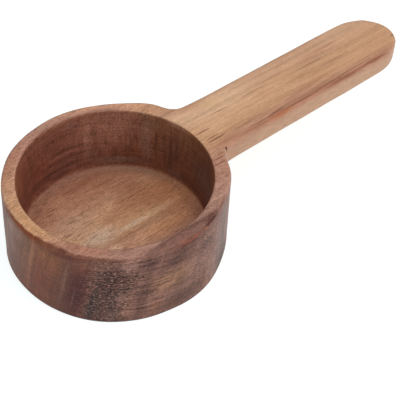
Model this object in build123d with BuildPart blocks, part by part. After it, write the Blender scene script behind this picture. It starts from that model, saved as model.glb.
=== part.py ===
from build123d import *
import os

# A wooden measuring scoop, carved in one piece from one block: a round cup with a flat handle.
# The origin is the centre of the cup's underside, +Z is up and +X runs out to the handle's tip.
# All lengths are in millimetres.

# The cup
cup_height = 23.0
rim_radius = 29.0  # outside, at the top
base_flare = 0.7  # how much wider the cup is at its underside, on the radius
base_round = 0.6
wall_thickness = 3.8  # at the rim
hollow_taper = 0.6  # how much narrower the hollow is at its floor, on the radius
floor_thickness = 3.0
cove_radius = 3.0  # the hollow round between floor and wall
mouth_round = 0.6
top_round = 1.2  # around the rim and along the handle, one unbroken edge

# The handle, whose top is level with the rim
handle_reach = 105.0  # from the cup's axis to the tip
handle_width = 19.8
handle_thickness = 7.0
handle_round = 1.3  # along the lower edge
tip_length = 12.0  # length of the half oval that ends the handle
neck_fillet = 9.5  # seen from above, between the cup and each side of the handle
neck_depth = 1.0  # how deep in the cup's wall those curves would end
seam_fillet = 2.0  # between the handle's sides and underside and the cup's wall

base_radius = rim_radius + base_flare
mouth_radius = rim_radius - wall_thickness
floor_radius = mouth_radius - hollow_taper
handle_bottom = cup_height - handle_thickness
half_width = handle_width / 2
tip_start = handle_reach - tip_length

with BuildPart() as spoon:
    # The handle with its two neck curves, seen from above; the disc ends up inside the cup
    with BuildSketch(Plane.XY.offset(handle_bottom)) as outline:
        with BuildLine():
            right_side = Line((0, -half_width), (tip_start, -half_width))
            EllipticalCenterArc(
                (tip_start, 0),
                x_radius=tip_length,
                y_radius=half_width,
                start_angle=-90,
                arc_size=180,
            )
            left_side = Line((tip_start, half_width), (0, half_width))
            Line(left_side @ 1, right_side @ 0)
        make_face()
        Circle(rim_radius - neck_depth)
        neck_corners = outline.vertices().group_by(Axis.X)[0]
        fillet(neck_corners, radius=neck_fillet)
    extrude(amount=handle_thickness)
    underside = spoon.faces().sort_by(Axis.Z)[0]
    fillet(underside.edges(), radius=handle_round)

    # The cup's outside, as a solid block that the handle runs into
    with BuildSketch(Plane.XZ):
        with BuildLine():
            Polyline(
                (0, 0),
                (base_radius, 0),
                (rim_radius, cup_height),
                (0, cup_height),
                close=True,
            )
        make_face()
    revolve(axis=Axis.Z)
    seam = spoon.edges(Select.NEW)
    fillet(seam, radius=seam_fillet)

    # The edges all round the top and the bottom
    top = spoon.faces().sort_by(Axis.Z)[-1]
    fillet(top.edges(), radius=top_round)
    bottom = spoon.faces().sort_by(Axis.Z)[0]
    fillet(bottom.edges(), radius=base_round)

    # The measure itself, with a cove around its floor
    with BuildSketch(Plane.XZ) as hollow:
        with BuildLine():
            Polyline(
                (0, floor_thickness),
                (floor_radius, floor_thickness),
                (mouth_radius, cup_height),
                (0, cup_height),
                close=True,
            )
        make_face()
        cove_corner = hollow.vertices().group_by(Axis.Y)[0].sort_by(Axis.X)[-1]
        fillet(cove_corner, radius=cove_radius)
    revolve(axis=Axis.Z, mode=Mode.SUBTRACT)
    mouth = spoon.faces().sort_by(Axis.Z)[-1].inner_wires()[0]
    fillet(mouth.edges(), radius=mouth_round)

spoon.part.label = "spoon"

os.makedirs("parts", exist_ok=True)
export_step(spoon.part, "parts/spoon.step")
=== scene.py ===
import math

import bmesh
import bpy
from mathutils import Matrix, Vector, noise

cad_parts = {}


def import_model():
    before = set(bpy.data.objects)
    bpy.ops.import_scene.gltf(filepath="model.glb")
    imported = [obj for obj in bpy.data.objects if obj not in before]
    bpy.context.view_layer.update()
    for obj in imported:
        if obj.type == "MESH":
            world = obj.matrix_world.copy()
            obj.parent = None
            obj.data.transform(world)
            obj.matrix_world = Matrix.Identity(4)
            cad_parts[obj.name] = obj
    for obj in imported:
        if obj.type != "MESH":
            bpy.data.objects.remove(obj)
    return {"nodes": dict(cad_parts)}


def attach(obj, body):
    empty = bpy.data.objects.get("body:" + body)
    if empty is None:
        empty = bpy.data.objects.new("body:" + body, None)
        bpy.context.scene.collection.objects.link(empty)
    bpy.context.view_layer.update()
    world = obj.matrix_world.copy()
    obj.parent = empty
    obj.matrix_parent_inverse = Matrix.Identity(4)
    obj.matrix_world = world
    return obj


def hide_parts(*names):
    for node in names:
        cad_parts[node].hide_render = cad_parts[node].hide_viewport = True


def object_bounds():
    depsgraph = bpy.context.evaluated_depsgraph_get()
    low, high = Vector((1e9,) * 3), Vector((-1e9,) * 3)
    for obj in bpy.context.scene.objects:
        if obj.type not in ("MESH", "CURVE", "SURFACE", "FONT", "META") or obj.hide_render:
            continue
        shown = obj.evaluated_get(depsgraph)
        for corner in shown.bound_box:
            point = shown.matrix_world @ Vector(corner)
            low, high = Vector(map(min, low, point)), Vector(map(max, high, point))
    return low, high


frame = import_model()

# A carved wooden measuring spoon: a round cup with a flat handle, all one piece of wood.
# It is modelled in millimetres and turned into metres at the end.
cadLow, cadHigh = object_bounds()
millimetre = 0.001
cupHeight = cadHigh.z / millimetre
handleReach = cadHigh.x / millimetre  # from the cup's axis to the tip
closeBy = 0.01  # points nearer to a line than this lie on it
clearBy = 0.1  # and points further than this are past it
print("frame loaded:", sorted(frame["nodes"]))


# The carved spoon

spoonSizes = {
    "baseRadius": 29.7,
    "rimRadius": 29.0,
    "mouthRadius": 25.2,
    "floorRadius": 24.6,
    "floorHeight": 3.0,
    "handleHalfWidth": 9.9,
    "handleThickness": 7.0,
    "tipLength": 12.0,
    "neckRadius": 7.1,  # of the curve between cup and handle, seen from above
    "neckDepth": 1.0,  # how deep in the wall that curve would end
    "edgeHold": 2.1,  # the hold lines beside an edge: the nearer, the sharper the edge
    "mouthHold": 1.05,
    "baseHold": 1.05,
    "coveHold": 2.6,
    "seamHold": 3.5,
    "backFlare": 0.04,  # by which share the handle's back half widens towards the tip
    "turns": 60,  # divisions around the cup
    "handleColumns": 4,  # divisions of half the handle's width
    "undersideShares": (0.0, 0.35, 0.7),  # where the underside is divided, as shares of its radius
    "floorShares": (0.5, 0.25, 0.0),  # the same for the hollow's floor
    "hollowShare": 0.6,  # and for the hollow's wall, as a share of the cup's height
    "neckRows": ((0.5, 251), (1.0, 270)),  # shares of the way out, and degrees around the curve
    "neckOverrun": 0.5,  # how far the handle's middle is past the end of that curve
    "straightShares": (0.16, 0.34, 0.52, 0.70, 0.86, 1.0),  # where the straight part is divided
    "tipStart": (18, 1.2, 0.93),  # the first row's degrees, its easing inwards and share of the width
    "tipHold": (90, 79, 68, 48),  # degrees around the tip, along its hold line
    "tipCorner": 36,
    "tipEdge": (90, 80, 70, 60, 48),
    "mergeDistance": 0.001,
    "smoothness": 2,
    "wornEdges": [  # degrees around from the handle, how far that reaches, and the extra rounding
        ("outer", 285, 48, 0.75),
        ("outer", 200, 35, 0.30),
        ("mouth", 88, 48, 2.0),
        ("mouth", 240, 70, 0.6),
    ],
    "wornTopShares": {"outer": 0.3, "mouth": 0.6},  # how much of that rounding is on the rim's top
    "bulges": [  # degrees around, reach and millimetres by which the cup stands out of round
        (32, 20, 1.4),
        (69, 25, -0.25),
        (101, 9, -0.18),
        (124, 13, 0.2),
        (299, 8, -0.15),
        (325, 22, 0.9),
    ],
    "bulgeFootShare": 0.3,  # how much of that is left at the foot
    "footBulges": [  # the same, from the foot up
        (160, 26, 0.3),
        (195, 25, 0.06),
        (220, 22, 0.17),
        (258, 15, -0.25),
        (304, 26, -0.45),
        (319, 12, -0.2),
    ],
    "undercuts": [(127, 38, 0.85)],  # and for the foot of the hollow's wall
    "floorKeepShare": 0.6,  # the share of the floor's radius that the undercuts leave alone
    "unevenness": 0.14,  # millimetres that hand sanding took off here and there
    "sandingSpan": 9.0,  # millimetres from one such place to the next
}


def cupProfile(sizes):
    # (radius, height) from the middle of the underside, up the outside, over the rim and down the hollow
    base, rim = sizes["baseRadius"], sizes["rimRadius"]
    mouth, floor = sizes["mouthRadius"], sizes["floorRadius"]
    bottom = sizes["floorHeight"]
    edge, lip, foot, cove = sizes["edgeHold"], sizes["mouthHold"], sizes["baseHold"], sizes["coveHold"]
    underHandle = cupHeight - sizes["handleThickness"]

    def outside(height):
        return base + (rim - base) * height / cupHeight

    def inside(height):
        return floor + (mouth - floor) * (height - bottom) / (cupHeight - bottom)

    heights = [foot, 0.5 * (foot + underHandle - sizes["seamHold"]), underHandle - sizes["seamHold"]]
    heights += handleRows(sizes)
    points = [(base * share, 0.0) for share in sizes["undersideShares"]]
    points += [(base - foot, 0.0), (base, 0.0)]
    points += [(outside(h), h) for h in heights]
    points += [(rim - edge, cupHeight), (mouth + lip, cupHeight), (mouth, cupHeight)]
    division = sizes["hollowShare"] * cupHeight
    points += [(inside(h), h) for h in (cupHeight - lip, division, bottom + cove)]
    points += [(floor, bottom), (floor - cove, bottom)]
    points += [(floor * share, bottom) for share in sizes["floorShares"]]
    return points


def handleRows(sizes):
    # the heights of the handle's lower edge, its two hold lines and its top
    under = cupHeight - sizes["handleThickness"]
    return [under, under + sizes["edgeHold"], cupHeight - sizes["edgeHold"], cupHeight]


def turnCup(mesh, sizes):
    verts = [mesh.verts.new((radius, 0.0, height)) for radius, height in cupProfile(sizes)]
    edges = [mesh.edges.new(pair) for pair in zip(verts, verts[1:])]
    bmesh.ops.spin(
        mesh,
        geom=verts + edges,
        cent=(0, 0, 0),
        axis=(0, 0, 1),
        angle=2 * math.pi,
        steps=sizes["turns"],
        use_merge=True,
    )
    bmesh.ops.remove_doubles(mesh, verts=mesh.verts, dist=sizes["mergeDistance"])
    bmesh.ops.recalc_face_normals(mesh, faces=mesh.faces)


def swell(angle, middle, reach):
    # 1 in the middle of a stretch of the cup, falling smoothly to 0 at its ends
    away = abs((angle - middle + 180) % 360 - 180)
    return math.cos(math.radians(min(away / reach, 1.0) * 90)) ** 2


def bulgeCup(mesh, sizes):
    outer = sizes["mouthRadius"] + sizes["mouthHold"] + clearBy
    inner = sizes["floorKeepShare"] * sizes["floorRadius"]
    footShare = sizes["bulgeFootShare"]
    for vert in mesh.verts:
        radius = math.hypot(vert.co.x, vert.co.y)
        angle = math.degrees(math.atan2(vert.co.y, vert.co.x))
        height = vert.co.z / cupHeight
        if radius > outer:
            parts = [("bulges", footShare + (1.0 - footShare) * height), ("footBulges", 1.0 - height)]
        elif radius > inner and vert.co.z > sizes["floorHeight"] - clearBy:
            parts = [("undercuts", 1.0 - height)]
        else:
            continue
        for name, share in parts:
            grown = sum(amount * swell(angle, middle, reach) for middle, reach, amount in sizes[name])
            vert.co.xy *= (radius + grown * share) / radius


def wearEdges(mesh, sizes):
    # moves the hold lines away from the edge, so that the edge rounds more where it is worn
    rim, mouth = sizes["rimRadius"], sizes["mouthRadius"]
    edge, lip = sizes["edgeHold"], sizes["mouthHold"]
    topShares = sizes["wornTopShares"]
    for vert in mesh.verts:
        radius = math.hypot(vert.co.x, vert.co.y)
        angle = math.degrees(math.atan2(vert.co.y, vert.co.x))
        onTop = abs(vert.co.z - cupHeight) < closeBy
        for name, middle, reach, extra in sizes["wornEdges"]:
            wear = extra * swell(angle, middle, reach)
            if name == "outer" and onTop and abs(radius - rim + edge) < closeBy:
                vert.co.xy *= (radius - wear * topShares["outer"] * edge) / radius
            outside = radius > mouth + lip
            if name == "outer" and outside and abs(vert.co.z - cupHeight + edge) < closeBy:
                vert.co.z -= wear * edge
            if name == "mouth" and onTop and abs(radius - mouth - lip) < closeBy:
                vert.co.xy *= (radius + wear * lip * topShares["mouth"]) / radius
            inside = radius < mouth + lip
            if name == "mouth" and inside and abs(vert.co.z - cupHeight + lip) < closeBy:
                vert.co.z -= wear * lip


def handlePlan(sizes):
    # one row of (x, y) for each station along the handle, each row from the middle out to the edge
    count = sizes["handleColumns"]
    half, hold = sizes["handleHalfWidth"], sizes["edgeHold"]
    tipLength = sizes["tipLength"]
    tipStart = handleReach - tipLength
    spread = [(half - hold) * c / (count - 1) for c in range(count)] + [half]

    def oval(angle, inset):
        turn = math.radians(angle)
        return tipStart + (tipLength - inset) * math.sin(turn), (half - inset) * math.cos(turn)

    # the neck: from the cup's wall out along the curve to the straight side
    rim, bend, overrun = sizes["rimRadius"], sizes["neckRadius"], sizes["neckOverrun"]
    reach = rim - sizes["neckDepth"] + bend
    centreY = half + bend
    centreX = math.sqrt(reach**2 - centreY**2)
    step = 2 * math.pi / sizes["turns"]
    wall = [(rim * math.cos(c * step), rim * math.sin(c * step)) for c in range(count + 1)]
    rows = []
    for share, angle in sizes["neckRows"]:
        turn = math.radians(angle)
        row = []
        for (wallX, wallY), y in zip(wall[:-1], spread):
            row.append((wallX + (centreX + overrun - wallX) * share, wallY + (y - wallY) * share))
        row.append((centreX + bend * math.cos(turn), centreY + bend * math.sin(turn)))
        rows.append(row)
    # the straight part
    for share in sizes["straightShares"]:
        x = centreX + (tipStart - centreX) * share
        rows.append([(x, y) for y in spread])
    # the rounded tip
    angle, easing, widthShare = sizes["tipStart"]
    x = oval(angle, hold + easing)[0]
    middle = [(x, 0.0), (x, spread[1]), (x, spread[2] * widthShare)]
    rows.append(middle + [oval(angle, hold), oval(angle, 0)])
    rows.append([oval(angle, hold) for angle in sizes["tipHold"]] + [oval(sizes["tipCorner"], 0)])
    rows.append([oval(angle, 0) for angle in sizes["tipEdge"]])
    return rows


def pullHandle(mesh, sizes):
    count = sizes["handleColumns"]
    step = 2 * math.pi / sizes["turns"]
    under = cupHeight - sizes["handleThickness"]
    column = mesh.verts.layers.int.new("column")
    wallRadius = sizes["rimRadius"] * math.cos(step)  # a face's middle lies inside the round wall
    faces = []
    for face in mesh.faces:
        middle = face.calc_center_median()
        angle = math.atan2(middle.y, middle.x)
        onWall = math.hypot(middle.x, middle.y) > wallRadius
        if onWall and under < middle.z < cupHeight - clearBy and abs(angle) < count * step:
            faces.append(face)
    for vert in {v for face in faces for v in face.verts}:
        vert[column] = round(math.atan2(vert.co.y, vert.co.x) / step)
    for row in handlePlan(sizes):
        covered = faces
        result = bmesh.ops.extrude_face_region(mesh, geom=covered)
        faces = [item for item in result["geom"] if isinstance(item, bmesh.types.BMFace)]
        bmesh.ops.delete(mesh, geom=[face for face in covered if face.is_valid], context="FACES")
        for vert in {v for face in faces for v in face.verts}:
            x, y = row[abs(vert[column])]
            if vert[column] > 0:
                pastMiddle = max(2 * x / handleReach - 1, 0.0)  # 1 at the tip
                y *= 1.0 + sizes["backFlare"] * pastMiddle
            vert.co.x = x
            vert.co.y = math.copysign(y, vert[column])
    bmesh.ops.recalc_face_normals(mesh, faces=mesh.faces)


def handFinish(mesh, sizes):
    # sanding by hand takes off a little here and there, so no face or edge is quite true
    depth, span = sizes["unevenness"], sizes["sandingSpan"]
    normals = [vert.normal.copy() for vert in mesh.vertices]
    for vert, normal in zip(mesh.vertices, normals):
        if vert.co.z < sizes["baseHold"]:
            continue
        share = 0.5 + 0.5 * noise.noise(vert.co / span)
        vert.co -= normal * depth * min(max(share, 0.0), 1.0)


def makeSpoon(sizes):
    cage = bmesh.new()
    turnCup(cage, sizes)
    wearEdges(cage, sizes)
    pullHandle(cage, sizes)
    bulgeCup(cage, sizes)
    mesh = bpy.data.meshes.new("spoonCage")
    cage.to_mesh(mesh)
    cage.free()
    piece = bpy.data.objects.new("carvedSpoon", mesh)
    bpy.context.scene.collection.objects.link(piece)
    smooth = piece.modifiers.new("roundOver", "SUBSURF")
    smooth.levels = sizes["smoothness"]
    smooth.render_levels = sizes["smoothness"]
    bpy.context.view_layer.update()
    finished = bpy.data.meshes.new_from_object(piece.evaluated_get(bpy.context.evaluated_depsgraph_get()))
    piece.modifiers.clear()
    piece.data = finished
    bpy.data.meshes.remove(mesh)
    finished.name = "carvedSpoon"
    handFinish(finished, sizes)
    finished.transform(Matrix.Scale(millimetre, 4))
    finished.shade_smooth()
    return piece


# The wood: one block with its grain along the handle, coloured through its whole depth

def paint(red, green, blue):
    # a colour as 0 to 255, made linear
    shares = [value / 255 for value in (red, green, blue)]
    return tuple(((v + 0.055) / 1.055) ** 2.4 if v > 0.04045 else v / 12.92 for v in shares) + (1.0,)


def addNode(tree, kind, inputs, **settings):
    node = tree.nodes.new("ShaderNode" + kind)
    for key, value in settings.items():
        setattr(node, key, value)
    for key, value in inputs.items():
        if isinstance(value, bpy.types.NodeSocket):
            tree.links.new(value, node.inputs[key])
        else:
            node.inputs[key].default_value = value
    return node


def maths(tree, operation, first, second=0.0):
    return addNode(tree, "Math", {0: first, 1: second}, operation=operation).outputs[0]


def vectorMaths(tree, operation, first, second):
    return addNode(tree, "VectorMath", {0: first, 1: second}, operation=operation).outputs[0]


def fade(tree, value, start, end, low=0.0, high=1.0):
    inputs = {"Value": value, "From Min": start, "From Max": end, "To Min": low, "To Max": high}
    return addNode(tree, "MapRange", inputs, interpolation_type="SMOOTHSTEP").outputs[0]


def blendColours(tree, factor, first, second, blend="MIX"):
    node = addNode(tree, "Mix", {0: factor, 6: first, 7: second}, data_type="RGBA", blend_type=blend)
    return node.outputs[2]


def newGroup(name, inputs, outputs):
    group = bpy.data.node_groups.new(name, "ShaderNodeTree")
    for label, (kind, value) in inputs.items():
        socket = group.interface.new_socket(name=label, in_out="INPUT", socket_type="NodeSocket" + kind)
        socket.default_value = value
    for label, kind in outputs.items():
        group.interface.new_socket(name=label, in_out="OUTPUT", socket_type="NodeSocket" + kind)
    entry = group.nodes.new("NodeGroupInput").outputs
    leave = group.nodes.new("NodeGroupOutput").inputs
    return group, entry, leave


def useGroup(tree, group, inputs):
    node = tree.nodes.new("ShaderNodeGroup")
    node.node_tree = group
    for key, value in inputs.items():
        if isinstance(value, bpy.types.NodeSocket):
            tree.links.new(value, node.inputs[key])
        else:
            node.inputs[key].default_value = value
    return node.outputs


def makeStreakGroup(roughness):
    # noise drawn out along the grain; Size is the streaks' length, width and depth in millimetres
    inputs = {"Position": ("Vector", (0, 0, 0)), "Size": ("Vector", (20, 1, 5)), "Detail": ("Float", 2.0)}
    group, entry, leave = newGroup("drawnStreaks", inputs, {"Value": "Float"})
    drawn = vectorMaths(group, "DIVIDE", entry["Position"], entry["Size"])
    settings = {"Vector": drawn, "Scale": 1.0, "Detail": entry["Detail"], "Roughness": roughness}
    cloud = addNode(group, "TexNoise", settings)
    group.links.new(cloud.outputs[0], leave["Value"])
    return group


def makeMarkGroup():
    # a soft-edged oval place with its own colour, laid over the wood's
    inputs = {
        "Colour": ("Color", (1, 1, 1, 1)),
        "Tone": ("Color", (1, 1, 1, 1)),
        "Surface": ("Float", 1.0),
        "Strength": ("Float", 1.0),
        "Softness": ("Float", 0.5),
        "Position": ("Vector", (0, 0, 0)),
        "Centre": ("Vector", (0, 0, 0)),
        "Reach": ("Vector", (5, 5, 5)),
    }
    group, entry, leave = newGroup("woodMark", inputs, {"Colour": "Color"})
    away = vectorMaths(group, "SUBTRACT", entry["Position"], entry["Centre"])
    shares = vectorMaths(group, "DIVIDE", away, entry["Reach"])
    length = addNode(group, "VectorMath", {0: shares}, operation="LENGTH").outputs["Value"]
    inner = maths(group, "SUBTRACT", 1.0, entry["Softness"])
    mask = fade(group, length, inner, 1.0, 1.0, 0.0)
    share = maths(group, "MULTIPLY", maths(group, "MULTIPLY", mask, entry["Surface"]), entry["Strength"])
    group.links.new(blendColours(group, share, entry["Colour"], entry["Tone"]), leave["Colour"])
    return group


def makePoreGroup():
    # short open vessels along the grain: dashes on a long face, dots on end grain
    inputs = {
        "Position": ("Vector", (0, 0, 0)),
        "Size": ("Vector", (6, 0.45, 0.45)),
        "Width": ("Float", 0.25),
        "Share": ("Float", 0.5),
    }
    group, entry, leave = newGroup("openPores", inputs, {"Mask": "Float"})
    drawn = vectorMaths(group, "DIVIDE", entry["Position"], entry["Size"])
    cells = addNode(group, "TexVoronoi", {"Vector": drawn, "Scale": 1.0})
    core = maths(group, "MULTIPLY", entry["Width"], 0.5)
    dash = fade(group, cells.outputs["Distance"], core, entry["Width"], 1.0, 0.0)
    chance = addNode(group, "SeparateColor", {0: cells.outputs["Color"]}).outputs[0]
    kept = maths(group, "LESS_THAN", chance, entry["Share"])
    group.links.new(maths(group, "MULTIPLY", dash, kept), leave["Mask"])
    return group


white = (255, 255, 255)
woodLook = {
    "layerTilt": 0.17,  # how much the growth layers lean as they rise
    "layerColours": [  # millimetres across the grain, and the colour there
        (30, (184, 140, 122)),
        (25, (184, 138, 120)),
        (15, (196, 148, 118)),
        (9, (206, 162, 130)),
        (2, (208, 162, 125)),
        (-3, (203, 156, 118)),
        (-7, (188, 141, 113)),
        (-12, (178, 130, 108)),
        (-19, (178, 134, 116)),
        (-23, (172, 130, 114)),
        (-24.5, (126, 87, 75)),
        (-30, (130, 90, 77)),
    ],
    "layerReach": 32.0,
    "outsideLean": 0.43,  # degrees that the outside's figure leans for each millimetre up
    "endGrainTone": (0.29, 0.185, 0.165, 1.0),
    # floorTone and hollowTone darken the inside of the cup: partly its wood, partly painted shade
    "floorTone": (0.96, 0.93, 0.91, 1.0),
    "hollowTone": (0.66, 0.50, 0.45, 1.0),
    "hollowFootShade": (0.70, 0.64, 0.66, 1.0),  # further darkening towards the floor, painted shade low in the hollow
    "footHeights": (4.0, 21.0),
    "smoothed": {"handle": 0.75, "floor": 0.35, "ring": 0.25, "hollow": 0.2},  # less rough than outside
    "evened": {"floor": 0.5, "side": 0.85},  # how much less streaked than the handle's top
    "textureGains": (1.0, 1.12, 1.2),  # the textures' effect on red, green and blue
    "streakRoughness": 0.55,
    "noiseRange": (0.25, 0.75),  # of the noise that makes the textures
    "fibreRange": (0.2, 0.8),
    "poreSize": (3.6, 0.46, 0.46),
    "poreWidth": 0.30,
    "poreShare": 0.45,
    "poreTone": (84, 46, 32),
    "poreStrength": 0.5,
    "dashSize": (2.8, 0.34, 0.9),
    "dashRange": (0.40, 0.30),
    "dashTone": (96, 56, 38),
    "dashes": ((10.0, -8.0), (0.15, 0.5)),  # along the grain on the floor, and their strengths there
    "threadSize": (9.0, 0.2, 2.0),
    "threadRange": (0.47, 0.37),
    "threadTone": (136, 84, 66),
    "masks": {  # marks used as masks: the rough heart, deeper lines, specks and fine dark threads
        "heart": ("outsideFigure", "outside", ((230, 12), (20, 24), white, 1.0, 0.6)),
        "combed": ("outsideFigure", "outside", ((240, 13), (34, 22), white, 1.0, 0.8)),
        "sparkle": ("outsideFigure", "outside", ((284, 13), (26, 20), white, 0.85, 0.7)),
        "threaded": ("flat", "top", ((60, -6.8), (38, 3.4), white, 0.5, 0.8)),
    },
    "speckSize": (1.5, 0.27, 1.0),
    "speckRange": (0.575, 0.70),
    "speckTone": (190, 144, 124),
    "speckStrength": 0.55,
    "roughness": (0.42, 0.62),
    "shine": 0.2,
    "relief": 0.07,  # millimetres from the top of a fibre to the bottom of a pore
    "reliefStrength": 0.5,
}

# How far each kind of place is pushed about by noise: the noise's size, the push and the detail.
woodWander = {
    "grain": ((70.0, 18.0, 22.0), (0.0, 3.2, 3.2), 1.0),
    "flat": ((8.0, 2.0, 3.0), (1.6, 0.5, 0.0), 2.0),
    "ring": ((5.0, 1.2, 1.0), (3.0, 0.7, 0.0), 3.0),
    "side": ((8.0, 1.5, 1.0), (1.0, 0.4, 0.0), 1.0),
    "outsideFigure": ((6.0, 7.0, 1.0), (2.4, 1.2, 0.0), 3.0),
    "hollowFigure": ((9.0, 6.0, 1.0), (3.0, 0.6, 0.0), 2.0),
}

# Where one surface gives way to the next: millimetres, or shares of a normal's length.
surfaceLimits = {
    "mouthRadii": (25.9, 26.3),
    "mouthShares": (0.0, 1.0),
    "floorHeights": (3.4, 6.0),
    "topHeights": (20.6, 22.2),
    "outsideHeights": (21.4, 22.8),
    "underHandle": (14.8, 15.9),
    "neck": (20.0, 27.0),
    "sideStart": (27.0, 28.5),
    "handleStart": (17.0, 30.0),
    "levelShares": (0.3, 0.97),
    "endGrainShares": (0.35, 0.85),
    "sideShares": (0.25, 0.6),
}

# The textures, from broad to fine: where each lies, its size there, its detail, its strength and
# the surface that it shows on. The turned, combed, scraped and banded ones are marks of tools.
woodTextures = {
    "broad": ("grain", (50.0, 2.2, 12.0), 2.0, 0.10, "streaked"),
    "fine": ("grain", (26.0, 0.6, 5.0), 2.0, 0.08, "streaked"),
    "blotches": ("grain", (5.0, 1.6, 1.6), 2.0, 0.08, "rough"),
    "fibres": ("grain", (2.2, 0.32, 0.34), 1.0, 0.23, "rough"),
    "grit": ("placed", (0.42, 0.34, 0.30), 0.0, 0.21, "rough"),
    "turned": ("outside", (12.0, 0.6, 1.0), 1.0, 0.12, "outside"),
    "combed": ("outside", (15.0, 0.85, 1.0), 1.0, 0.52, "combed"),
    "turnedHeart": ("outside", (3.2, 0.42, 1.0), 1.0, 0.50, "heart"),
    "sideFlecks": ("grain", (3.0, 0.5, 0.4), 1.0, 0.09, "side"),
    "uprights": ("outsideFigure", (2.2, 30.0, 1.0), 2.0, 0.12, "outside"),
    "scraped": ("hollow", (0.9, 5.0, 1.0), 1.0, 0.16, "hollow"),
    "banded": ("hollow", (26.0, 0.9, 1.0), 1.0, 0.14, "hollow"),
}

# Places with a colour of their own. Each has its centre and reach, then its colour, strength and
# softness. On the top and the floor the places are millimetres along and across the grain.
topMarks = {
    "paleBack": ((38, 5.0), (22, 6.0), (228, 188, 154), 0.75, 0.9),
    "paleNear": ((46, -1.5), (22, 6.0), (224, 180, 144), 0.4, 0.9),
    "yellowNear": ((37, 6.0), (6, 3.0), (216, 174, 128), 0.45, 0.9),
    "paleTip": ((92, 8.0), (16, 5.0), (214, 174, 142), 0.5, 0.9),
    "tanFar": ((76, 3.6), (12, 2.4), (188, 140, 110), 0.6, 0.9),
    "paleMiddle": ((63, -3.6), (8, 1.8), (226, 178, 146), 0.4, 0.9),
    "warmMiddle": ((52, 0.0), (6, 1.6), (194, 142, 104), 0.4, 0.9),
    # painted shade: a dark line along the handle's rounded back edge
    "backEdgeShade": ((58, 10.2), (52, 1.1), (128, 96, 76), 0.75, 0.7),
    "brownEdge": ((57, -7.6), (38, 2.7), (192, 145, 118), 0.45, 0.9),
    "tipShade": ((93, 4.5), (7, 3), (188, 140, 112), 0.25, 0.9),
    "tipShadeNear": ((93, -4.5), (7, 2.4), (188, 140, 112), 0.25, 0.9),
    "palePoint": ((32, -2), (6, 4), (224, 180, 150), 0.3, 0.9),
    "neckBack": ((32, 8.2), (8, 2.6), (188, 138, 108), 0.5, 0.9),
    "neckNear": ((31, -8.2), (8, 2.6), (172, 118, 90), 0.5, 0.9),
    "edgeStreak": ((64, -9.1), (44, 1.4), (178, 118, 90), 0.5, 0.8),
    "threadFirst": ((53, -7.3), (12, 0.22), (132, 82, 62), 0.5, 0.7),
    "threadSecond": ((66, -7.5), (8, 0.2), (132, 82, 62), 0.45, 0.7),
    "threadThird": ((80, -8.1), (10, 0.24), (126, 74, 56), 0.55, 0.7),
    "threadFourth": ((87, -7.1), (8, 0.22), (142, 92, 70), 0.5, 0.8),
    "threadEdge": ((45, -8.3), (10, 0.28), (134, 80, 58), 0.75, 0.7),
    "threadEdgeMiddle": ((59, -8.8), (12, 0.30), (138, 82, 60), 0.7, 0.7),
    "threadEdgeFar": ((71, -8.5), (9, 0.26), (132, 80, 60), 0.7, 0.7),
    "streakNear": ((40, -9.2), (9, 0.8), (150, 94, 70), 0.55, 0.8),
    "streakOrange": ((50, -9.3), (7, 1.0), (178, 106, 68), 0.7, 0.9),
    "streakDark": ((76, -9.4), (13, 0.6), (124, 70, 52), 0.7, 0.8),
    "streakTip": ((89, -9.2), (9, 0.6), (132, 74, 54), 0.75, 0.8),
    "redLine": ((54, -6.6), (13, 0.24), (158, 104, 80), 0.7, 0.7),
    "redLineFar": ((66, -8.2), (11, 0.26), (160, 104, 80), 0.6, 0.7),
    "dashNeck": ((28.0, -1.6), (3.4, 0.20), (104, 54, 32), 0.9, 0.5),
    "dashNeckLow": ((28.5, -4.8), (2.8, 0.20), (104, 56, 34), 0.8, 0.5),
    "dashNeckLower": ((29.4, -6.0), (3.8, 0.24), (90, 44, 26), 0.9, 0.5),
    "dashPair": ((37.0, 2.0), (4.6, 0.22), (128, 84, 60), 0.8, 0.7),
    "dashLong": ((50, 2.4), (8.0, 0.28), (160, 112, 84), 0.75, 0.8),
    "dashMiddle": ((38, -6.4), (5.0, 0.26), (134, 88, 64), 0.7, 0.7),
    "dashDark": ((50, -7.9), (4.0, 0.24), (98, 56, 40), 0.8, 0.6),
    "paleBeside": ((54, -6.6), (12, 1.2), (226, 176, 140), 0.35, 0.9),
    "threadRed": ((64, -5.8), (9.0, 0.26), (150, 100, 76), 0.6, 0.8),
    "threadLow": ((72, -7.2), (8.0, 0.24), (140, 90, 66), 0.55, 0.8),
    "threadFar": ((73, 1.3), (8.0, 0.30), (140, 96, 72), 0.65, 0.8),
    "threadFarther": ((80, -1.7), (8.0, 0.34), (146, 102, 78), 0.65, 0.8),
    "threadBack": ((83, 4.3), (7.0, 0.50), (168, 118, 94), 0.65, 0.8),
    "threadMiddle": ((60, 3.6), (8.0, 0.32), (176, 130, 100), 0.5, 0.8),
    "tipDot": ((102.6, -4.4), (1.1, 0.7), (120, 84, 66), 0.6, 0.6),
    # a small dark dot where the neck's crease meets the near top edge
    "creaseDot": ((28.9, -10.1), (0.48, 0.42), (88, 32, 20), 0.95, 0.5),
    "rimDashUpper": ((24.6, -12.2), (2.6, 0.24), (98, 54, 38), 0.9, 0.6),
    "rimDashOuter": ((26.2, -11.0), (1.8, 0.2), (104, 60, 42), 0.8, 0.6),
    "rimDashLower": ((23.4, -13.6), (2.8, 0.24), (98, 54, 38), 0.9, 0.6),
    "rimPaleBack": ((22, 15), (10, 6), (214, 164, 126), 0.6, 0.9),
    "heartLine": ((-2, -26.0), (14, 0.55), (104, 68, 58), 0.75, 0.8),
}
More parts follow.
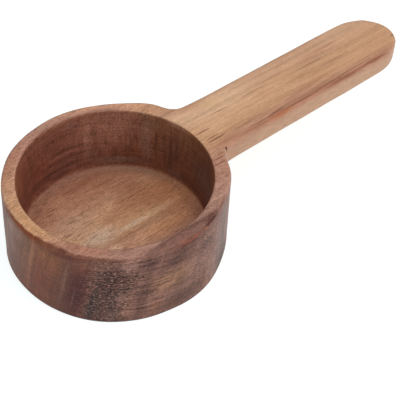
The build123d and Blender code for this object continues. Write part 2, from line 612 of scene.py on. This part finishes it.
# Around the rim the places are degrees around from the handle, and millimetres from the cup's axis.
rimMarks = {
    "paleRight": ((58, 27.6), (56, 2.2), (214, 158, 122), 0.65, 0.9),
    "redLeft": ((130, 27.4), (30, 2.6), (172, 114, 88), 0.6, 0.9),
    "goldLeft": ((174, 26.8), (34, 2.0), (197, 144, 102), 0.7, 0.9),
    "heartSpeck": ((247, 27.2), (2.4, 0.3), (120, 84, 72), 0.5, 0.8),
    "pinkFront": ((217, 26.8), (20, 2.0), (170, 115, 93), 0.65, 0.9),
    "mauveFront": ((240, 27.2), (11, 2.4), (146, 104, 90), 0.6, 0.9),
    "mauveRight": ((268, 27.2), (16, 2.4), (140, 101, 88), 0.35, 0.9),
    "edgeRed": ((202, 28.9), (54, 0.9), (114, 66, 50), 0.75, 0.5),
    "edgeRust": ((180, 28.8), (24, 0.8), (128, 62, 30), 0.85, 0.6),
    "edgeRustLine": ((190, 28.3), (22, 0.24), (120, 62, 36), 0.7, 0.8),
    "edgeChipped": ((200, 28.0), (9, 0.8), (136, 82, 60), 0.6, 0.9),
    "chipFirst": ((192.5, 28.3), (3.0, 0.8), (120, 66, 44), 0.75, 0.7),
    "chipSecond": ((199, 28.4), (3.4, 0.8), (112, 62, 46), 0.65, 0.9),
    "chipThird": ((206, 28.4), (3.0, 0.7), (106, 56, 46), 0.7, 0.7),
    "chipPale": ((196, 27.6), (2.4, 0.6), (212, 156, 122), 0.6, 0.8),
    # painted shade: a dark line along the rim's rounded back edge
    "rimBackShade": ((90, 29.0), (70, 1.0), (92, 64, 56), 0.85, 0.7),
    "mouthBack": ((84, 25.2), (58, 1.5), (130, 80, 58), 0.8, 0.9),
    "mouthFront": ((225, 25.4), (50, 0.40), (126, 84, 68), 0.55, 0.7),
    "heartRed": ((271, 28.75), (12, 0.42), (154, 80, 58), 0.75, 0.8),
    # grey near the rim's back edge: partly the wood, partly painted sheen
    "greyBack": ((60, 28.2), (9, 1.2), (168, 140, 128), 0.5, 0.9),
    "heartRedInner": ((268, 28.1), (9, 0.34), (148, 88, 72), 0.65, 0.8),
    "heartOrange": ((283, 28.8), (4, 0.3), (170, 92, 62), 0.7, 0.8),
    "edgeOrange": ((304, 28.8), (14, 0.3), (156, 92, 66), 0.6, 0.8),
    "paleNeck": ((328, 27.4), (14, 2.2), (198, 150, 128), 0.4, 0.9),
    "glint": ((272, 28.8), (5, 0.20), (170, 96, 70), 0.4, 0.9),
    "heartDark": ((287, 28.5), (8, 0.26), (74, 32, 24), 0.95, 0.6),
    "heartDarkMiddle": ((289, 28.0), (7, 0.2), (86, 42, 32), 0.9, 0.6),
    "heartDarkLow": ((288, 27.5), (7, 0.20), (100, 62, 52), 0.7, 0.8),
    "spotDark": ((301, 28.5), (6, 0.40), (116, 70, 52), 0.65, 0.8),
}
# On the handle's side the places are millimetres along it, and height.
sideMarks = {
    # pale on the handle's side: partly the wood, partly painted light on that side
    "paleLitSide": ((66, 18.6), (50, 4.2), (189, 148, 119), 0.9, 0.5),
    "tanFoot": ((70, 16.2), (40, 1.0), (168, 126, 98), 0.5, 0.9),
}
floorMarks = {
    "redBack": ((4, 18), (26, 15), (152, 100, 74), 0.6, 0.9),
    "redPatch": ((2, 19.5), (10, 2.0), (134, 82, 58), 0.5, 0.9),
    "warmMiddle": ((11, 5), (12, 7), (168, 108, 74), 0.6, 0.9),
    "warmSide": ((20, 2), (12, 15), (182, 118, 80), 0.7, 0.9),
    "paleFront": ((5, -7.5), (15, 5), (228, 174, 138), 0.65, 0.9),
    "frontEdge": ((0, -10.8), (5, 1.8), (176, 124, 94), 0.5, 0.9),
    "middleDark": ((1, 4.0), (7, 2.6), (166, 114, 82), 0.5, 0.9),
    "redRight": ((12, 11), (7, 5), (148, 90, 62), 0.5, 0.9),
    "goldStreak": ((11, -1.5), (14, 1.5), (224, 180, 142), 0.65, 0.9),
    "paleMiddle": ((4, -1.4), (7, 1.3), (230, 204, 180), 0.5, 0.9),
    # painted sheen on the floor's left
    "sheenPatch": ((-6.0, 0.2), (8.6, 4.8), (212, 184, 162), 0.65, 0.9),
    "paleFore": ((-6, -5.6), (4.5, 2.2), (234, 192, 158), 0.75, 0.9),
    "tanEdge": ((-12, -2.2), (4.5, 3.0), (122, 78, 57), 0.85, 0.9),
    "paleLeft": ((-9, 8), (9, 8), (190, 154, 132), 0.4, 0.9),
    "goldFront": ((11, -7.6), (12, 4.4), (210, 142, 92), 0.45, 0.9),
    "tanLeft": ((-9, 5.0), (8, 4.0), (200, 158, 126), 0.35, 0.9),
    "redLeft": ((-13, 14), (8, 6), (150, 98, 76), 0.5, 0.9),
    "redThread": ((1, -3.9), (8, 0.35), (150, 98, 74), 0.65, 0.8),
    "threadBack": ((10, 7.3), (9, 0.40), (136, 86, 62), 0.65, 0.8),
    "threadFront": ((6, -7.9), (8, 0.35), (156, 102, 76), 0.6, 0.8),
    "bandDark": ((8, 16.2), (8, 0.7), (132, 84, 62), 0.5, 0.9),
    "bandMiddle": ((-2, 10.6), (12, 0.6), (150, 100, 76), 0.4, 0.9),
    "dashFore": ((-8.4, 9.6), (2.6, 0.24), (96, 58, 40), 0.7, 0.6),
    "dashMiddle": ((-11.5, 6.0), (1.8, 0.22), (96, 58, 40), 0.7, 0.6),
    "dashLong": ((-9.8, 16.4), (2.6, 0.24), (100, 56, 38), 0.75, 0.7),
    "dashShort": ((-11.2, 15.4), (1.8, 0.22), (106, 62, 44), 0.6, 0.7),
    "dashSoft": ((-12.6, 18.4), (2.4, 0.3), (112, 64, 48), 0.5, 0.8),
    "dashBack": ((-2.0, 19.6), (2.2, 0.26), (112, 66, 48), 0.5, 0.8),
}
# Around the floor's edge the places are as on the rim; the shade there has the same depth all round.
floorEdgeMarks = {
    "footShade": ((180, 24.6), (900, 6.0), (104, 54, 38), 0.38, 0.9),
    "leftLight": ((124, 25.4), (32, 1.5), (154, 104, 80), 0.65, 0.8),
    # painted light along the cove at the back of the floor
    "litCoveArc": ((45, 23.2), (60, 0.9), (158, 124, 102), 0.45, 0.9),
}
# On the walls the places are degrees around from the handle, and height.
outsideMarks = {
    # painted sheen on the wall's left side, where it turns away
    "greySheenLeft": ((166, 12), (9, 18), (134, 98, 86), 0.75, 0.8),
    "footFar": ((170, 7), (12, 8), (98, 46, 33), 0.6, 0.9),
    "topLeft": ((170, 19.6), (12, 4), (158, 120, 102), 0.45, 0.9),
    "goldColumn": ((180.5, 13), (3.6, 12), (132, 84, 50), 0.5, 0.9),
    "footLeft": ((182, 2.5), (30, 7), (107, 54, 33), 0.65, 0.9),
    "bandPale": ((185.4, 12), (2.2, 18), (164, 112, 80), 0.65, 0.9),
    "bandTan": ((195, 18.5), (14, 12), (142, 83, 50), 0.75, 0.9),
    "warmLeft": ((191, 7), (16, 13), (124, 58, 32), 0.72, 0.9),
    "purple": ((214, 9.5), (8, 15), (74, 20, 19), 0.9, 0.8),
    "purpleTop": ((212, 19.6), (8, 4.8), (124, 66, 48), 0.6, 0.9),
    "purpleLow": ((215.5, 7.6), (4, 3.6), (54, 11, 11), 0.45, 0.9),
    "threadPale": ((206, 13), (1.7, 12), (150, 106, 92), 0.5, 0.9),
    "threadSecond": ((212.5, 7), (1.1, 7), (124, 84, 76), 0.45, 0.9),
    "edgeBurnt": ((203, 21.2), (14, 1.6), (92, 44, 32), 0.7, 0.8),
    "heart": ((227, 11), (9.5, 22), (60, 31, 28), 0.85, 0.7),
    "heartUpper": ((233, 15), (12, 7.5), (60, 25, 20), 0.8, 0.8),
    "heartCore": ((222, 6), (3.0, 9), (46, 32, 32), 0.8, 0.8),
    "heartSecond": ((232.2, 7), (3.0, 9), (60, 36, 34), 0.65, 0.8),
    "sandy": ((239, 6.5), (4.6, 7), (130, 90, 72), 0.75, 0.8),
    "shade": ((246, 9), (3.8, 10), (84, 51, 43), 0.5, 0.9),
    "footCore": ((235, 3.2), (4, 3.4), (66, 48, 42), 0.55, 0.9),
    "paleTop": ((220, 20.6), (16, 2.6), (124, 82, 66), 0.5, 0.9),
    "flame": ((259.5, 11.8), (16, 5.4), (142, 100, 75), 0.85, 0.7),
    "brownMiddle": ((266, 9.5), (5.4, 4.8), (90, 59, 44), 0.58, 0.9),
    "footRight": ((280, 4.4), (12, 4), (88, 49, 38), 0.6, 0.9),
    "arcDark": ((262, 17.4), (20, 3.2), (88, 50, 40), 0.76, 0.9),
    "arcLeft": ((245, 19.4), (8, 3.6), (72, 38, 34), 0.75, 0.9),
    "arcUpper": ((267, 20.6), (22, 2.6), (86, 46, 38), 0.58, 0.8),
    "arcFar": ((280, 16.5), (12, 3.4), (80, 44, 37), 0.72, 0.9),
    "footDark": ((268, 4.0), (11, 3.4), (78, 48, 39), 0.8, 0.9),
    "footBrown": ((270, 2.5), (26, 4.5), (84, 54, 44), 0.6, 0.9),
    "rightBrown": ((278, 11), (9, 10), (106, 70, 54), 0.15, 0.9),
    # the mauve places on the wall's right side: partly the wood's tone, partly painted sheen where the
    # wall turns away
    "mauve": ((299, 12), (14, 18), (116, 91, 84), 0.75, 0.9),
    "mauveTop": ((304, 15), (8, 7), (100, 80, 74), 0.4, 0.9),
    "mauveFoot": ((307, 9.5), (7, 4.5), (124, 106, 101), 0.45, 0.9),
    "sandyFoot": ((254, 4), (5, 3.5), (140, 90, 66), 0.6, 0.9),
    "footFarRight": ((306, 3.2), (10, 3.8), (72, 54, 50), 0.65, 0.9),
    "topRight": ((285, 20.8), (7, 2.2), (84, 60, 54), 0.35, 0.9),
    # painted contact shade: a dark line along the foot where the cup stands
    "contactShadeLine": ((230, 0.0), (80, 1.0), (56, 36, 31), 0.7, 0.7),
}
hollowMarks = {
    "redLeft": ((118, 12), (42, 18), (110, 58, 43), 0.65, 0.8),
    "orangeLeft": ((134, 17), (14, 8), (146, 84, 60), 0.5, 0.9),
    "warmBack": ((52, 17), (30, 11), (180, 126, 106), 0.8, 0.9),
    "redUpper": ((93, 18), (13, 7), (118, 66, 50), 0.5, 0.9),
    # painted highlight near the top of the hollow's back wall
    "highlightBack": ((81, 20.2), (5, 1.8), (136, 96, 86), 0.45, 0.9),
    "darkSide": ((12, 11), (16, 17), (92, 60, 54), 0.5, 0.9),
    "chocolate": ((-16, 15), (32, 17), (70, 45, 39), 0.5, 0.8),
    "bandPale": ((82, 14.2), (24, 0.8), (146, 96, 76), 0.5, 0.9),
    "bandPaleMiddle": ((86, 11.4), (26, 0.8), (138, 88, 70), 0.5, 0.9),
    "bandPaleLow": ((92, 8.6), (24, 0.7), (128, 80, 64), 0.45, 0.9),
    "bandDark": ((84, 12.8), (26, 0.6), (84, 48, 37), 0.55, 0.9),
    "bandDarkMiddle": ((88, 9.9), (30, 0.7), (80, 45, 35), 0.55, 0.9),
    "bandDarkLow": ((92, 7.2), (30, 0.9), (66, 37, 29), 0.6, 0.9),
    "columnPale": ((71, 15), (4.4, 8), (184, 132, 110), 0.6, 0.9),
    "columnPaler": ((60, 13), (3.0, 9), (160, 108, 86), 0.45, 0.9),
    "columnDark": ((66.5, 12), (2.2, 9), (116, 74, 58), 0.45, 0.9),
    "columnGreen": ((33, 14), (6.0, 13), (174, 134, 115), 0.75, 0.9),
    "columnBrown": ((26, 12), (2.0, 10), (84, 54, 41), 0.5, 0.9),
    "columnTan": ((20, 14), (1.8, 8), (118, 84, 66), 0.45, 0.9),
    "columnDeep": ((15.5, 12), (1.8, 10), (66, 43, 35), 0.5, 0.9),
    "columnFaint": ((11, 15), (1.6, 7), (104, 72, 58), 0.4, 0.9),
    # painted shade in the cove at the foot of the hollow's wall
    "coveShadeLeft": ((110, 7.0), (30, 2.2), (66, 36, 29), 0.35, 0.9),
    "darkLeft": ((146, 9.6), (19, 5.8), (95, 43, 30), 0.5, 0.9),
    "redMiddle": ((109, 10.5), (11, 4.5), (130, 74, 56), 0.7, 0.9),
    # painted shade in the cove at the foot of the hollow's wall
    "coveShadeBack": ((92, 5.0), (11, 1.6), (60, 34, 28), 0.5, 0.9),
    "paleUpper": ((28, 20), (7, 4), (160, 118, 95), 0.75, 0.9),
    "footPaleRight": ((11, 5.2), (10, 2.0), (134, 98, 84), 0.95, 0.9),
    "paleFoot": ((70, 8.4), (8, 3.2), (148, 104, 86), 0.6, 0.9),
    "footPale": ((50, 5.6), (24, 1.8), (150, 114, 97), 0.9, 0.9),
    "footGlow": ((142, 4.6), (18, 1.8), (128, 74, 56), 0.5, 0.9),
    # painted shade in the cove at the foot of the hollow's wall
    "coveShadeRight": ((-2, 5.0), (18, 3.0), (70, 48, 42), 0.4, 0.8),
    "plumRight": ((-22, 12), (26, 8), (118, 88, 80), 0.9, 0.9),
}


def woodPlaces(tree, look, wander):
    # where each point of the wood lies, in millimetres and degrees
    coordinates = addNode(tree, "TexCoord", {}).outputs
    scaled = {"Vector": coordinates["Object"], "Scale": (1 / millimetre,) * 3}
    placed = addNode(tree, "Mapping", scaled).outputs[0]
    along, across, height = addNode(tree, "SeparateXYZ", {0: placed}).outputs
    flat = vectorMaths(tree, "MULTIPLY", placed, (1.0, 1.0, 0.0))
    radius = addNode(tree, "VectorMath", {0: flat}, operation="LENGTH").outputs["Value"]

    def joined(*values):
        return addNode(tree, "CombineXYZ", dict(enumerate(values))).outputs[0]

    def drifted(name, position):
        # the position, pushed about by noise that is drawn out
        size, push, detail = wander[name]
        drawn = vectorMaths(tree, "DIVIDE", position, size)
        cloud = addNode(tree, "TexNoise", {"Vector": drawn, "Scale": 1.0, "Detail": detail}).outputs[1]
        centred = vectorMaths(tree, "SUBTRACT", cloud, (0.5, 0.5, 0.5))
        return vectorMaths(tree, "ADD", position, vectorMaths(tree, "MULTIPLY", centred, push))

    def degreesAround(first, second, start):
        turn = maths(tree, "ARCTAN2", maths(tree, "MULTIPLY", first, -1.0), second)
        return maths(tree, "ADD", maths(tree, "MULTIPLY", turn, math.degrees(1.0)), start)

    # the outside's seam in the degrees is inside the handle, and the hollow's is on its hidden side
    outsideTurn = degreesAround(across, maths(tree, "MULTIPLY", along, -1.0), 180.0)
    hollowTurn = degreesAround(along, across, 90.0)
    rise = maths(tree, "SUBTRACT", height, cupHeight / 2)
    tilted = maths(tree, "ADD", across, maths(tree, "MULTIPLY", rise, look["layerTilt"]))
    upright = maths(tree, "SUBTRACT", outsideTurn, maths(tree, "MULTIPLY", rise, look["outsideLean"]))
    return {
        "placed": placed,
        "grain": drifted("grain", joined(along, tilted, height)),
        "flat": drifted("flat", flat),
        "ring": drifted("ring", joined(outsideTurn, radius)),
        "side": drifted("side", joined(along, height)),
        "outside": joined(outsideTurn, height),
        "outsideFigure": drifted("outsideFigure", joined(upright, height)),
        "hollow": joined(hollowTurn, height),
        "hollowFigure": drifted("hollowFigure", joined(hollowTurn, height)),
        "along": along,
        "height": height,
        "radius": radius,
        "facing": addNode(tree, "SeparateXYZ", {0: coordinates["Normal"]}).outputs,
    }


def surfaceShares(tree, look, places, limits):
    # masks that tell which surface a point is on
    along, height, radius = places["along"], places["height"], places["radius"]
    endways, sideways, upwards = (maths(tree, "ABSOLUTE", part) for part in places["facing"])

    def times(first, second):
        return maths(tree, "MULTIPLY", first, second)

    def onward(value, name):
        return fade(tree, value, *limits[name])

    def before(value, name):
        return fade(tree, value, *limits[name], 1.0, 0.0)

    def lessThan(shares, calmer):
        # 1, less the strongest of these surfaces
        most = 0.0
        for name, amount in calmer.items():
            most = maths(tree, "MAXIMUM", most, times(shares[name], amount))
        return maths(tree, "SUBTRACT", 1.0, most)

    within = before(radius, "mouthRadii")
    top = onward(height, "topHeights")
    cup = maths(tree, "MAXIMUM", before(along, "sideStart"), before(height, "underHandle"))
    shares = {
        "top": top,
        "ring": times(top, before(along, "neck")),
        "side": times(onward(sideways, "sideShares"), onward(along, "sideStart")),
        "floor": times(within, before(height, "floorHeights")),
        "hollow": times(within, before(upwards, "levelShares")),
        "outside": times(times(before(within, "mouthShares"), before(height, "outsideHeights")), cup),
        "endGrain": onward(endways, "endGrainShares"),
    }
    shares["handle"] = times(onward(along, "handleStart"), lessThan(shares, {"outside": 1.0}))
    shares["rough"] = lessThan(shares, look["smoothed"])
    shares["streaked"] = lessThan(shares, look["evened"])
    return shares


def layerRamp(tree, look, grain):
    # the colour across the growth layers
    reach = look["layerReach"]
    layer = addNode(tree, "SeparateXYZ", {0: grain}).outputs[1]
    share = addNode(tree, "MapRange", {"Value": layer, "From Min": -reach, "From Max": reach}).outputs[0]
    ramp = addNode(tree, "ValToRGB", {0: share})
    stops = sorted(look["layerColours"])
    while len(ramp.color_ramp.elements) < len(stops):
        ramp.color_ramp.elements.new(0.5)
    for element, (place, colour) in zip(ramp.color_ramp.elements, stops):
        element.position = (place + reach) / (2 * reach)
        element.color = paint(*colour)
    return ramp.outputs[0]


def makeWood(look, wander, limits, textures, markings):
    material = bpy.data.materials.new("oiledWood")
    material.use_nodes = True
    tree = material.node_tree
    shader = tree.nodes["Principled BSDF"]
    shader.inputs["Specular IOR Level"].default_value = look["shine"]
    streakGroup = makeStreakGroup(look["streakRoughness"])
    markGroup, poreGroup = makeMarkGroup(), makePoreGroup()
    places = woodPlaces(tree, look, wander)
    shares = surfaceShares(tree, look, places, limits)

    def times(first, second):
        return maths(tree, "MULTIPLY", first, second)

    def streaks(where, size, detail):
        inputs = {"Position": places[where], "Size": size, "Detail": detail}
        return useGroup(tree, streakGroup, inputs)["Value"]

    def darkened(colour, share, tone):
        return blendColours(tree, share, colour, blendColours(tree, 1.0, colour, tone, "MULTIPLY"))

    def marked(colour, mark, where, surface):
        centre, size, tone, strength, softness = mark
        inputs = {
            "Colour": colour,
            "Tone": paint(*tone),
            "Surface": shares[surface],
            "Strength": strength,
            "Softness": softness,
            "Position": places[where],
            "Centre": (*centre, 0.0),
            "Reach": (*size, 1.0),
        }
        return useGroup(tree, markGroup, inputs)["Colour"]

    # open end grain drinks the oil and turns darker; the floor and the hollow are darkened too, partly for
    # their wood and partly as painted shade inside the cup, and the hollow more towards its floor as
    # painted shade
    colour = layerRamp(tree, look, places["grain"])
    colour = darkened(colour, times(shares["outside"], shares["endGrain"]), look["endGrainTone"])
    colour = darkened(colour, shares["floor"], look["floorTone"])
    colour = darkened(colour, shares["hollow"], look["hollowTone"])
    lower = fade(tree, places["height"], *look["footHeights"], 1.0, 0.0)
    colour = darkened(colour, times(shares["hollow"], lower), look["hollowFootShade"])
    for marks, where, surface in markings:
        for mark in marks.values():
            colour = marked(colour, mark, where, surface)

    # streaks, fibres and tool marks, all multiplied in at once
    for name, (where, surface, place) in look["masks"].items():
        shares[name] = marked((0.0, 0.0, 0.0, 1.0), place, where, surface)
    drawn = {}
    tone = 0.0
    for name, (where, size, detail, strength, surface) in textures.items():
        drawn[name] = streaks(where, size, detail)
        lightness = fade(tree, drawn[name], *look["noiseRange"], -strength, strength)
        tone = maths(tree, "ADD", tone, times(lightness, shares[surface]))
    shades = [maths(tree, "ADD", times(tone, gain), 1.0) for gain in look["textureGains"]]
    shade = addNode(tree, "CombineColor", dict(enumerate(shades))).outputs[0]
    colour = blendColours(tree, 1.0, colour, shade, "MULTIPLY")

    # open pores, dashes on the floor, threads on the handle, and pale specks on the wall
    pore = {"Position": places["grain"], "Size": look["poreSize"]}
    pore.update({"Width": look["poreWidth"], "Share": look["poreShare"]})
    pores = useGroup(tree, poreGroup, pore)["Mask"]
    poreDepth = times(times(pores, shares["rough"]), look["poreStrength"])
    colour = blendColours(tree, poreDepth, colour, paint(*look["poreTone"]))
    dashes = fade(tree, streaks("grain", look["dashSize"], 1.0), *look["dashRange"])
    ends, depths = look["dashes"]
    dashDepth = times(shares["floor"], fade(tree, places["along"], *ends, *depths))
    colour = blendColours(tree, times(dashes, dashDepth), colour, paint(*look["dashTone"]))
    threads = fade(tree, streaks("grain", look["threadSize"], 1.0), *look["threadRange"])
    colour = blendColours(tree, times(threads, shares["threaded"]), colour, paint(*look["threadTone"]))
    specks = fade(tree, streaks("outside", look["speckSize"], 0.0), *look["speckRange"])
    speckled = maths(tree, "MAXIMUM", shares["heart"], shares["sparkle"])
    filled = times(times(specks, speckled), look["speckStrength"])
    colour = blendColours(tree, filled, colour, paint(*look["speckTone"]))

    tree.links.new(colour, shader.inputs["Base Color"])
    low, high = look["roughness"]
    gloss = fade(tree, drawn["fibres"], *look["fibreRange"], low, high)
    tree.links.new(gloss, shader.inputs["Roughness"])
    relief = maths(tree, "ADD", drawn["fibres"], times(drawn["turned"], shares["outside"]))
    relief = maths(tree, "SUBTRACT", relief, pores)
    bumps = {"Height": relief, "Strength": look["reliefStrength"], "Distance": look["relief"] * millimetre}
    tree.links.new(addNode(tree, "Bump", bumps).outputs[0], shader.inputs["Normal"])
    return material


spoon = makeSpoon(spoonSizes)
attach(spoon, "root")
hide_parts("spoon")
woodMarkings = [
    (topMarks, "flat", "top"),
    (rimMarks, "ring", "ring"),
    (sideMarks, "side", "side"),
    (floorMarks, "flat", "floor"),
    (floorEdgeMarks, "ring", "floor"),
    (outsideMarks, "outsideFigure", "outside"),
    (hollowMarks, "hollowFigure", "hollow"),
]
spoon.data.materials.append(makeWood(woodLook, woodWander, surfaceLimits, woodTextures, woodMarkings))
print("spoon carved:", len(spoon.data.polygons), "faces")


# Camera, floor and light

cameraView = {
    "azimuth": -43.1965,
    "elevation": 45.0118,
    "roll": 2.7133,
    "shift": (-22.25, 9.60, 258.81),  # the cup's centre in the camera's own right, down and depth
    "focalPixels": 954.477,
    "frameWidth": 400,
    "sensorWidth": 36.0,
}


def placeCamera(view):
    azimuth, elevation, roll = (math.radians(view[key]) for key in ("azimuth", "elevation", "roll"))
    level = math.cos(elevation)
    back = Vector((math.sin(azimuth) * level, -math.cos(azimuth) * level, math.sin(elevation)))
    right = Vector((math.cos(azimuth), math.sin(azimuth), 0.0))
    up = back.cross(right)
    turnedRight = right * math.cos(roll) + up * math.sin(roll)
    turnedUp = up * math.cos(roll) - right * math.sin(roll)
    across, down, depth = view["shift"]
    camera = bpy.data.objects.new("camera", bpy.data.cameras.new("camera"))
    place = (turnedUp * down - turnedRight * across + back * depth) * millimetre
    camera.matrix_world = Matrix((turnedRight, turnedUp, back)).transposed().to_4x4()
    camera.location = place
    camera.data.sensor_width = view["sensorWidth"]
    camera.data.lens = view["focalPixels"] / view["frameWidth"] * view["sensorWidth"]
    bpy.context.scene.collection.objects.link(camera)
    bpy.context.scene.camera = camera


placeCamera(cameraView)

studio = {
    "floorSize": 6.0,
    "floorTone": (0.45, 0.47, 0.48, 1.0),
    "floorRoughness": 0.9,
    "floorGlow": 0.76,
    "glowTone": (0.95, 1.0, 1.0, 1.0),
    "skyStrength": 0.32,
    "keyPower": 5.0,
    "keySize": 0.7,
    "keyPlace": (0.50, -0.78, 0.75),
    "topPower": 5.5,
    "topSize": 0.9,
    "topPlace": (-0.1, -0.1, 1.2),
}


def makeFloor(values):
    cage = bmesh.new()
    bmesh.ops.create_grid(cage, x_segments=2, y_segments=2, size=values["floorSize"] / 2)
    mesh = bpy.data.meshes.new("floor")
    cage.to_mesh(mesh)
    cage.free()
    floor = bpy.data.objects.new("floor", mesh)
    bpy.context.scene.collection.objects.link(floor)
    material = bpy.data.materials.new("paleFloor")
    material.use_nodes = True
    shader = material.node_tree.nodes["Principled BSDF"]
    shader.inputs["Base Color"].default_value = values["floorTone"]
    shader.inputs["Roughness"].default_value = values["floorRoughness"]
    shader.inputs["Emission Color"].default_value = values["glowTone"]
    shader.inputs["Emission Strength"].default_value = values["floorGlow"]
    mesh.materials.append(material)


def softBox(name, place, size, power):
    light = bpy.data.lights.new(name, "AREA")
    light.shape = "DISK"
    light.size = size
    light.energy = power
    lamp = bpy.data.objects.new(name, light)
    lamp.location = place
    lamp.rotation_euler = Vector(place).to_track_quat("Z", "Y").to_euler()
    bpy.context.scene.collection.objects.link(lamp)


def lightStudio(values):
    world = bpy.data.worlds.new("studio")
    bpy.context.scene.world = world
    world.use_nodes = True
    sky = world.node_tree.nodes["Background"]
    sky.inputs["Color"].default_value = (1.0, 1.0, 1.0, 1.0)
    sky.inputs["Strength"].default_value = values["skyStrength"]
    softBox("keyLight", values["keyPlace"], values["keySize"], values["keyPower"])
    softBox("topLight", values["topPlace"], values["topSize"], values["topPower"])
    bpy.context.scene.view_settings.view_transform = "Standard"


makeFloor(studio)
lightStudio(studio)
print("studio lit")
